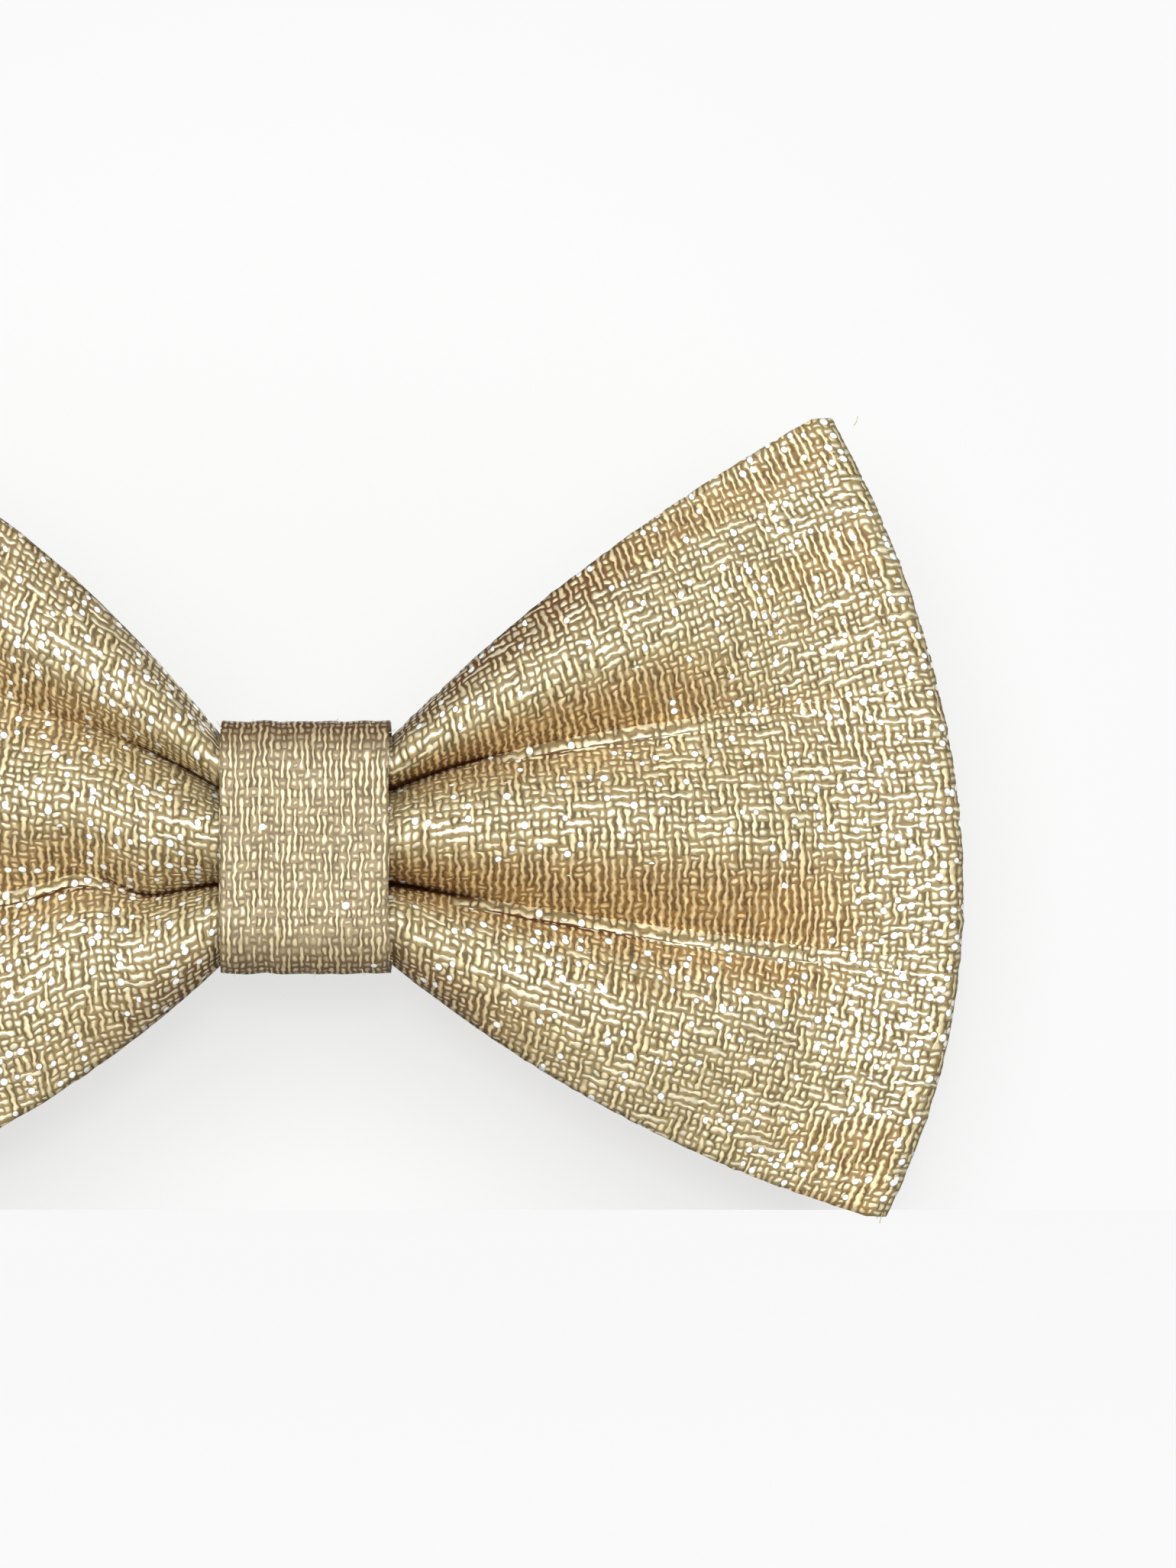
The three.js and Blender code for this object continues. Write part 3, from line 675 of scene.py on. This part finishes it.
def metallic_weave_group():
    """Interlaced threads wrapped in metal film, with flakes that stand proud of them; highlights, glints and
    shade are painted into the colour.
    """
    group, given, out = new_group(
        "metallic_weave",
        [
            ("NodeSocketVector", "Cloth", None),
            ("NodeSocketFloat", "Pitch Along", 0.00068),
            ("NodeSocketFloat", "Pitch Across", 0.0006),
            ("NodeSocketFloat", "Upright Share", 0.5),
            ("NodeSocketFloat", "Repeat", 2.0),
            ("NodeSocketFloat", "Order", 0.5),
            ("NodeSocketFloat", "Shade", 0.0),
            ("NodeSocketFloat", "Dark", 0.0),
            ("NodeSocketColor", "Upright Thread", (0.7, 0.5, 0.2, 1)),
            ("NodeSocketColor", "Lengthwise Thread", (0.8, 0.72, 0.5, 1)),
            ("NodeSocketColor", "Gap", (0.1, 0.06, 0.02, 1)),
            ("NodeSocketFloat", "Flakes", 0.12),
            ("NodeSocketFloat", "Least Metal", 0.3),
            ("NodeSocketFloat", "Stray", 1.0),
        ],
        [
            ("NodeSocketColor", "Colour"),
            ("NodeSocketFloat", "Roughness"),
            ("NodeSocketFloat", "Metallic"),
            ("NodeSocketFloat", "Height"),
        ],
    )
    n = lambda op, *v: math_node(group, op, *v)

    def vector(op, *v):
        return tree_node(group, "ShaderNodeVectorMath", dict(enumerate(v)), operation=op).outputs[0]

    def scaled(v, k):
        return tree_node(group, "ShaderNodeVectorMath", {0: v, "Scale": k}, operation="SCALE").outputs[0]

    # hand-loom unevenness: every thread wavers a little, slowly and quickly
    cloth = given["Cloth"]
    for scale, size in WAVER:
        wave = {"Vector": given["Cloth"], "Scale": scale, "Detail": 0.0}
        drift = tree_node(group, "ShaderNodeTexNoise", wave, noise_dimensions="2D")
        way = vector("SUBTRACT", drift.outputs["Color"], (0.5, 0.5, 0.5))
        cloth = vector("ADD", cloth, scaled(way, n("MULTIPLY", given["Stray"], size)))
    split = tree_node(group, "ShaderNodeSeparateXYZ", {0: cloth})
    u = n("DIVIDE", split.outputs[0], given["Pitch Along"])
    v = n("DIVIDE", split.outputs[1], given["Pitch Across"])
    iu, iv = n("FLOOR", u), n("FLOOR", v)
    fu, fv = n("SUBTRACT", n("FRACT", u), 0.5), n("SUBTRACT", n("FRACT", v), 0.5)

    # which thread lies on top in a cell: chance, drawn by Order towards a slanting pattern that repeats
    def on_top(cell_u, cell_v):
        cell = tree_node(group, "ShaderNodeCombineXYZ", {0: cell_u, 1: cell_v})
        at = {"Vector": cell.outputs[0]}
        chance = tree_node(group, "ShaderNodeTexWhiteNoise", at, noise_dimensions="2D")
        order = n("FRACT", n("DIVIDE", n("ADD", cell_u, n("ADD", cell_v, 3000.5)), given["Repeat"]))
        pull = n("MULTIPLY", given["Order"], n("SUBTRACT", order, chance.outputs["Value"]))
        above = n("LESS_THAN", n("ADD", chance.outputs["Value"], pull), given["Upright Share"])
        return above, tree_node(group, "ShaderNodeSeparateColor", {0: chance.outputs["Color"]}).outputs

    upright, luck = on_top(iu, iv)
    lengthwise = n("SUBTRACT", 1.0, upright)
    side = n("ADD", n("MULTIPLY", upright, fu), n("MULTIPLY", lengthwise, fv))
    forward = n("ADD", n("MULTIPLY", upright, fv), n("MULTIPLY", lengthwise, fu))
    step = n("SIGN", forward)
    next_u = n("ADD", iu, n("MULTIPLY", lengthwise, step))
    neighbour, _ = on_top(next_u, n("ADD", iv, n("MULTIPLY", upright, step)))
    reach = n("ABSOLUTE", forward)
    dives = n("MULTIPLY", n("ABSOLUTE", n("SUBTRACT", neighbour, upright)), ramp(group, reach, 0.22, 0.5))
    waisted = n("SUBTRACT", 1.0, n("MULTIPLY", ramp(group, reach, 0.1, 0.5), 0.28))
    thread = n("ADD", n("MULTIPLY", upright, iu), n("MULTIPLY", lengthwise, n("ADD", iv, 991.0)))
    half = n("MULTIPLY", waisted, n("ADD", 0.23, n("MULTIPLY", luck[1], 0.13)))
    apart = n("DIVIDE", n("ABSOLUTE", side), half)
    body = n("SQRT", n("MAXIMUM", 0.0, n("SUBTRACT", 1.0, n("MULTIPLY", apart, apart))))
    body = n("MULTIPLY", body, n("SUBTRACT", 1.0, n("MULTIPLY", dives, 0.7)))
    gap = n("MAXIMUM", ramp(group, apart, 0.8, 1.3), n("MULTIPLY", dives, 0.8))
    # painted highlight along a thread's top, and painted shade in gold at its sides; the flank's painted
    # shade narrows the highlight
    shade = given["Shade"]
    narrow = n("SUBTRACT", 0.95, n("MULTIPLY", shade, 0.3))
    crown_highlight = n("SUBTRACT", 1.0, n("SMOOTH_MIN", 1.0, n("POWER", n("DIVIDE", apart, narrow), 2.0), 0.2))
    tone = mix_colour(group, upright, given["Lengthwise Thread"], given["Upright Thread"])
    # painted shade: thread tones turn brown on a valley's flank
    tone = mix_colour(group, shade, tone, (0.84, 0.68, 0.385, 1))
    thread_side_shade = vector("MULTIPLY", tone, (0.72, 0.62, 0.42))
    thread_side_shade = mix_colour(group, shade, thread_side_shade, (0.6, 0.39, 0.16, 1))
    film = mix_colour(group, n("MAXIMUM", crown_highlight, 0.0), thread_side_shade, tone)
    # painted glints along each thread's run, times a tone that differs at random by cell
    run = n("ADD", n("MULTIPLY", upright, v), n("MULTIPLY", lengthwise, u))
    stretch = tree_node(group, "ShaderNodeCombineXYZ", {0: n("MULTIPLY", run, 0.9), 1: thread})
    wave = {"Vector": stretch.outputs[0], "Scale": 1.0, "Detail": 1.0}
    streak = tree_node(group, "ShaderNodeTexNoise", wave)
    streaks = ramp(group, streak.outputs["Fac"], 0.25, 0.7, 0.84, 1.1)
    lustre = n("MULTIPLY", streaks, n("ADD", 0.84, n("MULTIPLY", luck[2], 0.28)))
    # painted shade: the gaps turn browner on the flank; then each cell's gap tone differs at random
    gap_tone = mix_colour(group, shade, given["Gap"], (0.22, 0.113, 0.03, 1))
    gap_tone = scaled(gap_tone, n("ADD", 0.45, n("MULTIPLY", luck[0], 0.9)))
    fabric = mix_colour(group, gap, scaled(film, lustre), gap_tone)
    # painted shade: the dark mark pulls the colour to near black-brown, most in the gaps, and raises the
    # metal there so that it keeps no grey gloss
    dark = given["Dark"]
    in_gaps = n("MULTIPLY", n("MULTIPLY", dark, gap), 2.0)
    painted_shade_mix = n("MINIMUM", 1.0, n("ADD", n("MULTIPLY", dark, dark), in_gaps))
    fabric = mix_colour(group, painted_shade_mix, fabric, (0.1, 0.034, 0.008, 1))
    # flakes, scattered on their own coarser grid: raised discs whose colour is painted white as glints, with
    # a dark ring round each, partly its setting and partly painted shadow
    grid = {"Vector": scaled(given["Cloth"], 1 / FLAKE["cell"]), "Scale": 1.0, "Randomness": 0.95}
    spots = tree_node(group, "ShaderNodeTexVoronoi", grid, voronoi_dimensions="2D", feature="F1")
    pick = tree_node(group, "ShaderNodeSeparateColor", {0: spots.outputs["Color"]}).outputs
    chosen = n("LESS_THAN", pick[0], given["Flakes"])
    size = n("ADD", FLAKE["least"], n("MULTIPLY", FLAKE["more"], pick[1]))
    off = n("DIVIDE", spots.outputs["Distance"], size)
    disc = n("MULTIPLY", chosen, ramp(group, off, 0.85, 1.05, 1.0, 0.0))
    rim = n("MULTIPLY", chosen, ramp(group, off, 1.0, 1.6, 0.6, 0.0))
    fabric = mix_colour(group, rim, fabric, given["Gap"])
    glint_white = mix_colour(group, 0.05, (1.0, 1.0, 0.98, 1), spots.outputs["Color"])
    group.links.new(mix_colour(group, disc, fabric, glint_white), out["Colour"])
    threads_rough = n("ADD", n("MULTIPLY", luck[0], -0.14), n("ADD", 0.58, n("MULTIPLY", gap, 0.22)))
    smoother = n("MULTIPLY", disc, n("SUBTRACT", FLAKE["rough"], threads_rough))
    group.links.new(n("ADD", smoother, threads_rough), out["Roughness"])
    metal = n("ADD", given["Least Metal"], n("MULTIPLY", luck[1], 0.35))
    threads_metal = n("MULTIPLY", n("SUBTRACT", 1.0, gap), metal)
    cloth_metal = n("MULTIPLY", threads_metal, n("SUBTRACT", 1.0, n("MULTIPLY", disc, 0.9)))
    group.links.new(n("MAXIMUM", cloth_metal, ramp(group, dark, 0.4, 0.9)), out["Metallic"])
    group.links.new(n("MAXIMUM", body, n("MULTIPLY", disc, 1.05)), out["Height"])
    return group


def grain_group():
    """Fine random grain for felted fibre, glue and metal, with a broad drift under it."""
    group, given, out = new_group(
        "fine_grain",
        [
            ("NodeSocketVector", "Place", None),
            ("NodeSocketFloat", "Grain Size", 0.0004),
            ("NodeSocketColor", "Light", (0.8, 0.8, 0.8, 1)),
            ("NodeSocketColor", "Dark", (0.5, 0.5, 0.5, 1)),
            ("NodeSocketFloat", "Smoothest", 0.3),
            ("NodeSocketFloat", "Roughest", 0.6),
        ],
        [("NodeSocketColor", "Colour"), ("NodeSocketFloat", "Roughness"), ("NodeSocketFloat", "Height")],
    )
    n = lambda op, *v: math_node(group, op, *v)
    grains = {0: given["Place"], 1: given["Grain Size"]}
    near = tree_node(group, "ShaderNodeVectorMath", grains, operation="DIVIDE").outputs[0]
    fine_wave = {"Vector": near, "Scale": 1.0, "Detail": 4.0, "Roughness": 0.6}
    fine = tree_node(group, "ShaderNodeTexNoise", fine_wave)
    broad = tree_node(group, "ShaderNodeTexNoise", {"Vector": near, "Scale": 0.12, "Detail": 2.0})
    both = n("ADD", n("MULTIPLY", fine.outputs["Fac"], 0.6), n("MULTIPLY", broad.outputs["Fac"], 0.4))
    share = ramp(group, both, 0.35, 0.65)
    group.links.new(mix_colour(group, share, given["Dark"], given["Light"]), out["Colour"])
    span = n("SUBTRACT", given["Roughest"], given["Smoothest"])
    group.links.new(n("ADD", given["Smoothest"], n("MULTIPLY", share, span)), out["Roughness"])
    group.links.new(fine.outputs["Fac"], out["Height"])
    return group


WAVER = ((450.0, 0.0004), (1500.0, 0.0004))  # noise scale per metre of cloth, and how far a thread strays
# Flakes: metres between candidates, radii in cells, and roughness.
FLAKE = {"cell": 0.00105, "least": 0.2, "more": 0.1, "rough": 0.3}
WEAVE = metallic_weave_group()
GRAIN = grain_group()


def blank_material(name):
    material = bpy.data.materials.new(name)
    material.use_nodes = True
    tree = material.node_tree
    return material, tree, tree.nodes["Principled BSDF"]


def add_bump(tree, shader, height, distance, strength=1.0):
    bump = tree_node(tree, "ShaderNodeBump", {"Height": height, "Distance": distance, "Strength": strength})
    tree.links.new(bump.outputs[0], shader.inputs["Normal"])


# How much the share of upright threads grows on a valley's flank, where brown shade is painted, and shrinks
# on a pressed edge.
FLANK_UPRIGHT = 0.3
PRESSED_UPRIGHT = 0.12


def weave_material(name, pitch, relief, shaded, **values):
    """Shaded cloth varies its weave, its painted shade and its flakes by its own attributes."""
    material, tree, shader = blank_material(name)
    cloth = tree_node(tree, "ShaderNodeUVMap", uv_map="cloth")
    weave = tree_node(tree, "ShaderNodeGroup", {"Cloth": cloth.outputs[0]}, node_tree=WEAVE)
    for label, value in values.items():
        weave.inputs[label.replace("_", " ")].default_value = value
    weave.inputs["Pitch Along"].default_value, weave.inputs["Pitch Across"].default_value = pitch
    if shaded:
        marks = {
            mark: tree_node(tree, "ShaderNodeAttribute", attribute_name=mark).outputs["Fac"]
            for mark in MARKS
        }
        gain = math_node(tree, "MULTIPLY", marks["flank_shade"], FLANK_UPRIGHT)
        loss = math_node(tree, "MULTIPLY", marks["pressed"], PRESSED_UPRIGHT)
        share = math_node(tree, "SUBTRACT", math_node(tree, "ADD", values["Upright_Share"], gain), loss)
        tree.links.new(share, weave.inputs["Upright Share"])
        tree.links.new(marks["flank_shade"], weave.inputs["Shade"])
        tree.links.new(marks["dark"], weave.inputs["Dark"])
        tree.links.new(marks["sparkle"], weave.inputs["Flakes"])
    tree.links.new(weave.outputs["Colour"], shader.inputs["Base Color"])
    tree.links.new(weave.outputs["Roughness"], shader.inputs["Roughness"])
    tree.links.new(weave.outputs["Metallic"], shader.inputs["Metallic"])
    add_bump(tree, shader, weave.outputs["Height"], relief, 0.9)
    return material


def grain_material(name, size, light, dark, smoothest, roughest, metallic=0.0, bump=0.0):
    """Plain stuff with a fine grain: grain size in metres, two colours, and the range of its roughness."""
    material, tree, shader = blank_material(name)
    place = tree_node(tree, "ShaderNodeTexCoord")
    grain = tree_node(tree, "ShaderNodeGroup", node_tree=GRAIN)
    tree.links.new(place.outputs["Object"], grain.inputs["Place"])
    grain.inputs["Grain Size"].default_value = size
    grain.inputs["Light"].default_value, grain.inputs["Dark"].default_value = light, dark
    grain.inputs["Smoothest"].default_value, grain.inputs["Roughest"].default_value = smoothest, roughest
    tree.links.new(grain.outputs["Colour"], shader.inputs["Base Color"])
    tree.links.new(grain.outputs["Roughness"], shader.inputs["Roughness"])
    shader.inputs["Metallic"].default_value = metallic
    if bump:
        add_bump(tree, shader, grain.outputs["Height"], bump)
    return material


GOLD = weave_material(
    "gold_cloth", (0.00062, 0.00059), 0.00008, True, Repeat=2.0, Order=0.55, Stray=0.75,
    Upright_Share=0.5, Least_Metal=0.2, Gap=(0.25, 0.187, 0.087, 1),
    Upright_Thread=(0.93, 0.82, 0.54, 1), Lengthwise_Thread=(0.97, 0.91, 0.69, 1),
)
GOLD_BAND = weave_material(
    "gold_band_cloth", (0.00045, 0.0007), 0.00005, True, Repeat=2.0, Order=0.6, Stray=0.6,
    Upright_Share=0.6, Least_Metal=0.15,
    Upright_Thread=(0.76, 0.665, 0.43, 1), Lengthwise_Thread=(0.5, 0.43, 0.275, 1), Gap=(0.26, 0.2, 0.12, 1),
)
RIBBON = weave_material(
    "ribbed_ribbon", (0.00045, 0.0009), 0.00008, False, Order=0.0, Upright_Share=1.0, Least_Metal=0.0,
    Flakes=0.0,
    Upright_Thread=(0.66, 0.53, 0.3, 1), Lengthwise_Thread=(0.6, 0.48, 0.28, 1), Gap=(0.3, 0.22, 0.11, 1),
)
FELT = grain_material(
    "white_nonwoven", 0.00025, (0.86, 0.85, 0.8, 1), (0.7, 0.69, 0.64, 1), 0.85, 1.0, bump=0.0001
)
GLUE = grain_material(
    "set_glue", 0.0016, (0.86, 0.82, 0.7, 1), (0.74, 0.69, 0.55, 1), 0.15, 0.35, bump=0.0001
)
NICKEL = grain_material(
    "nickel_plate", 0.0004, (0.8, 0.79, 0.76, 1), (0.74, 0.73, 0.7, 1), 0.2, 0.28, metallic=1.0
)
WIRE = grain_material(
    "spring_wire", 0.0003, (0.6, 0.6, 0.6, 1), (0.4, 0.4, 0.4, 1), 0.25, 0.45, metallic=1.0
)
THREAD = grain_material(
    "gathering_thread", 0.0001, (0.7, 0.6, 0.38, 1), (0.45, 0.36, 0.2, 1), 0.6, 0.8, bump=0.00005
)


# ---- assembly ----
def finish_piece(obj, material, slot, *nodes):
    """Give a piece its material and its body, and hide the nodes it stands for."""
    obj.data.materials.clear()
    obj.data.materials.append(material)
    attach(obj, BODY)
    if nodes:
        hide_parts(*nodes)
    return obj


cloth = finish_piece(bow_cloth(), GOLD, "metallic_cloth", "bow_strip")
band = finish_piece(band_cloth(), GOLD_BAND, "metallic_cloth", "centre_band")
for name, node, wing in (("felt_right", "interfacing_right", RIGHT), ("felt_left", "interfacing_left", LEFT)):
    felt = finish_piece(interfacing(name, wing), FELT, "interfacing", node)
ribbon = finish_piece(lining("clip_ribbon"), RIBBON, "lining_ribbon", "clip_lining")
finish_piece(glue_blob("glue_at_waist", "waist_glue", 0.25), GLUE, "hot_glue", "waist_glue")
finish_piece(glue_blob("glue_at_tab", "band_glue", 0.12), GLUE, "hot_glue", "band_glue")
finish_piece(frayed_ends(), THREAD, "metallic_cloth")

for node, material in {
    "gathering_thread": THREAD, "clip_fixed_leg": NICKEL, "clip_moving_leg": NICKEL, "clip_pin": NICKEL,
    "spring_coil": WIRE, "spring_moving_end": WIRE,
}.items():
    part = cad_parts[node]
    for material_slot in part.material_slots:
        material_slot.material = material


# ---- stage ----
def area_light(name, place, size, power):
    """A square lamp that points at the bow."""
    lamp = bpy.data.lights.new(name, "AREA")
    lamp.shape = "SQUARE"
    lamp.size = size
    lamp.energy = power
    obj = bpy.data.objects.new(name, lamp)
    obj.location = place
    obj.rotation_euler = (Vector((0, 0, 0)) - Vector(place)).to_track_quat("-Z", "Y").to_euler()
    bpy.context.collection.objects.link(obj)


PALE = (0.956, 0.956, 0.956, 1)


def pale_world():
    world = bpy.data.worlds.new("studio")
    bpy.context.scene.world = world
    world.use_nodes = True
    tree = world.node_tree
    path = tree_node(tree, "ShaderNodeLightPath")
    seen = mix_colour(tree, path.outputs["Is Camera Ray"], (0.25, 0.25, 0.25, 1), PALE)
    tree.links.new(seen, tree.nodes["Background"].inputs["Color"])


def stage_disc(name, radius, turn, place, fade, one_sided):
    """A pale disc that keeps only soft shadows, and melts into the background away from its middle.

    fade: where the melting starts, where it is done, and the least share of it in the middle.
    """
    bm = bmesh.new()
    bmesh.ops.create_circle(bm, cap_ends=True, segments=96, radius=radius)
    bmesh.ops.rotate(bm, verts=bm.verts, cent=(0, 0, 0), matrix=Matrix.Rotation(turn, 3, "X"))
    bmesh.ops.translate(bm, verts=bm.verts, vec=place)
    obj = object_from(bm, name)
    material, tree, shader = blank_material(name)
    shader.inputs["Base Color"].default_value = (0.72, 0.72, 0.72, 1)
    shader.inputs["Roughness"].default_value = 1.0
    shader.inputs["Specular IOR Level"].default_value = 0.0
    glow = tree_node(tree, "ShaderNodeEmission", {"Color": PALE})
    ends = {0: tree_node(tree, "ShaderNodeTexCoord").outputs["Object"], 1: place}
    away = tree_node(tree, "ShaderNodeVectorMath", ends, operation="DISTANCE").outputs["Value"]
    seen = tree_node(tree, "ShaderNodeLightPath").outputs["Is Camera Ray"]
    plain = math_node(tree, "MULTIPLY", seen, ramp(tree, away, *fade, 1.0))
    surface = tree_node(tree, "ShaderNodeMixShader", {0: plain, 1: shader.outputs[0], 2: glow.outputs[0]})
    if one_sided:
        nothing = tree_node(tree, "ShaderNodeBsdfTransparent")
        back = tree_node(tree, "ShaderNodeNewGeometry").outputs["Backfacing"]
        sides = {0: back, 1: surface.outputs[0], 2: nothing.outputs[0]}
        surface = tree_node(tree, "ShaderNodeMixShader", sides)
        obj.visible_diffuse = obj.visible_glossy = obj.visible_transmission = obj.visible_shadow = False
    tree.links.new(surface.outputs[0], tree.nodes["Material Output"].inputs["Surface"])
    obj.data.materials.append(material)


LENS = 200.0
FRAME_HEIGHT = 0.120
CAMERA_AIM = Vector((0.0215, -0.010, 0.0047))


def camera():
    data = bpy.data.cameras.new("camera")
    data.lens = LENS
    data.sensor_width = 36.0
    data.clip_start, data.clip_end = 0.01, 50.0
    obj = bpy.data.objects.new("camera", data)
    obj.location = CAMERA_AIM - Vector((0, FRAME_HEIGHT * LENS / data.sensor_width, 0))
    obj.rotation_euler = (math.pi / 2, 0, 0)
    bpy.context.collection.objects.link(obj)
    bpy.context.scene.camera = obj


bpy.context.scene.view_settings.view_transform = "Standard"
pale_world()
UNDER_BOW = (0, 0, CAD_BOX[0].z - 0.0006)
BEHIND_BOW = (0, 0.0122, 0)
stage_disc("floor", 3.0, 0.0, UNDER_BOW, fade=(0.05, 0.4, 0.97), one_sided=False)
stage_disc("backdrop", 0.4, math.pi / 2, BEHIND_BOW, fade=(0.045, 0.07, 0.68), one_sided=True)
area_light("front_key", (0.02, -1.3, 0.14), size=0.14, power=3.7)
area_light("front_softbox", (0.0, -1.2, 0.15), size=1.1, power=22.8)
area_light("back_softbox", (0.1, 1.2, 0.1), size=1.0, power=9.0)
camera()
